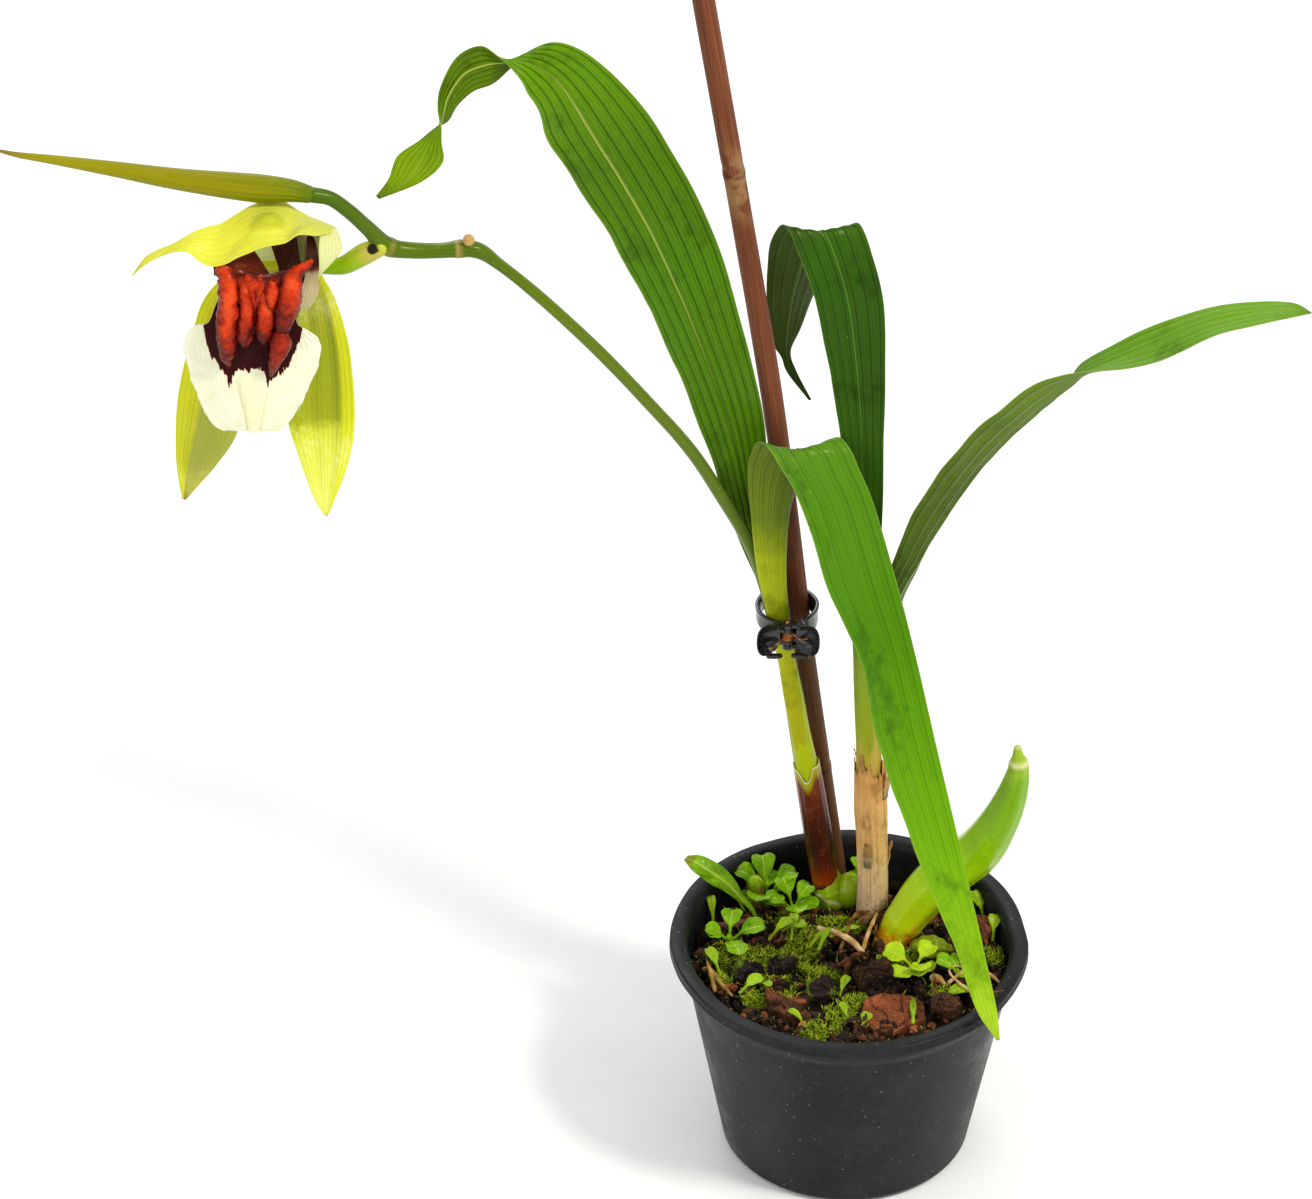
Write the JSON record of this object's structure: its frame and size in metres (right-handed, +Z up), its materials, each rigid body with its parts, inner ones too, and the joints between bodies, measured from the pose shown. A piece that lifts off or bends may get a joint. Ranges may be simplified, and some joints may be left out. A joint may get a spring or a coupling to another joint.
{
  "type": "potted orchid",
  "caption": "Potted coelogyne orchid with a nodding flower, strap leaves, green pseudobulbs, a cane stake and a sprung clip in a black nursery pot of bark mix.",
  "frame": {"origin": "middle of the pot's underside", "axes": "+Z up; the flower and the pot's front as pictured face -Y, and the flower hangs out towards -X"},
  "size_m": [0.4048, 0.1202, 0.4266],
  "materials": {
    "pot_plastic": "satin moulded black, dusty",
    "bark_mix": "rough composted bark with moss",
    "bark": "rough bark",
    "leaf_green": "satin leaf, pleated along its veins",
    "stem_green": "satin green stem",
    "bract_olive": "satin olive bract",
    "weed_green": "satin bright green leaf",
    "bulb_green": "glossy green pseudobulb",
    "sheath_purple": "satin purple brown sheath",
    "papery": "dry papery sheath",
    "tepal": "soft yellow green tepal",
    "lip_cream": "soft cream lip marked dark brown",
    "keel_red": "glossy warty red keels",
    "cane": "dyed cane with fine grain",
    "clip_plastic": "glossy black",
    "spring_steel": "dull spring wire, a little rusty"
  },
  "bodies": {
    "root": {"pot": "pot_plastic", "potting_mix": "bark_mix", "leaf_front": "leaf_green", "leaf_tall": "leaf_green", "leaf_back": "leaf_green", "leaf_right": "leaf_green", "scape": "stem_green", "terminal_bract": "bract_olive", "pedicel": "stem_green", "column": "tepal", "dorsal_sepal": "tepal", "lateral_sepal_right": "tepal", "lateral_sepal_left": "tepal", "petal_right": "tepal", "petal_left": "tepal", "lip": "lip_cream", "lip_keels": "keel_red", "growth_base": "bulb_green", "purple_sheath": "sheath_purple", "back_bulb": "papery", "papery_sheath": "papery", "old_bulb": "bulb_green", "shrivelled_bulb": "bulb_green", "rhizome": "papery", "stake": "cane", "twig": "bark", "seedling": "weed_green", "bark_chip_red": "bark", "bark_chip_dark": "bark", "bark_chip_left": "bark", "bark_chip_mid": "bark", "bark_chip_long": "bark", "bark_chip_mossy": "bark", "bark_chip_right": "bark", "bark_chip_brown": "bark", "bark_chip_small": "bark", "weed_left": "weed_green", "weed_middle": "weed_green", "weed_front": "weed_green", "weed_back": "weed_green", "weed_glossy": "weed_green", "weed_right": "weed_green", "clip_jaw_right": "clip_plastic", "clip_pin": "spring_steel", "clip_spring": "spring_steel"},
    "clip_jaw": {"clip_jaw_left": "clip_plastic"}
  },
  "joints": [
    {"name": "clip_hinge", "type": "hinge", "parent": "root", "child": "clip_jaw", "pos_m": [-0.0214, 0.0247, 0.1875], "axis": [0, 0, 1], "range_deg": [0, 30], "stiffness_Nm_per_rad": 0.002, "springref_deg": -20.05}
  ]
}
